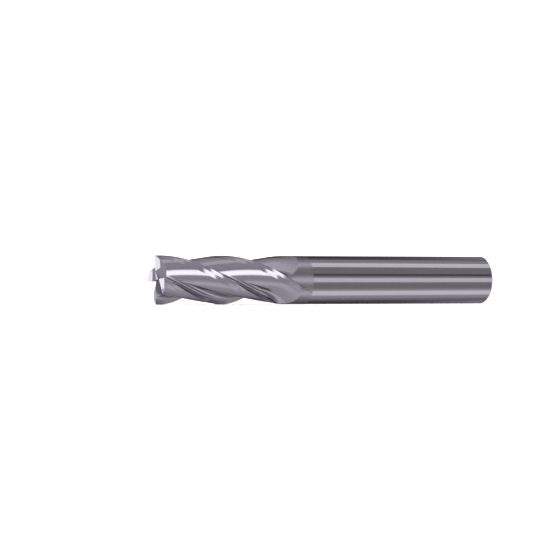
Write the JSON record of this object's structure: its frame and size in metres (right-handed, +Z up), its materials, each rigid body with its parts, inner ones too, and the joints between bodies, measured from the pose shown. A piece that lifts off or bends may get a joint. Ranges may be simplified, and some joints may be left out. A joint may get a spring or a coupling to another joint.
{
  "type": "end mill",
  "caption": "Square-end milling cutter with right-hand helical flutes, a brazed carbide head and a plain cylindrical steel shank",
  "frame": {"origin": "centre of the shank's flat end face, on the tool's axis", "axes": "+X along the tool's axis from the end teeth out through the shank's end face, +Z up as the tool lies, +Y away from the viewer"},
  "size_m": [0.075, 0.01, 0.01],
  "materials": {
    "carbide": "fine-ground cemented carbide, satin",
    "braze": "silver braze ground flush",
    "shank_steel": "centreless-ground and polished tool steel"
  },
  "bodies": {
    "root": {"cutting_head": "carbide", "braze_joint": "braze", "shank": "shank_steel"}
  },
  "joints": []
}
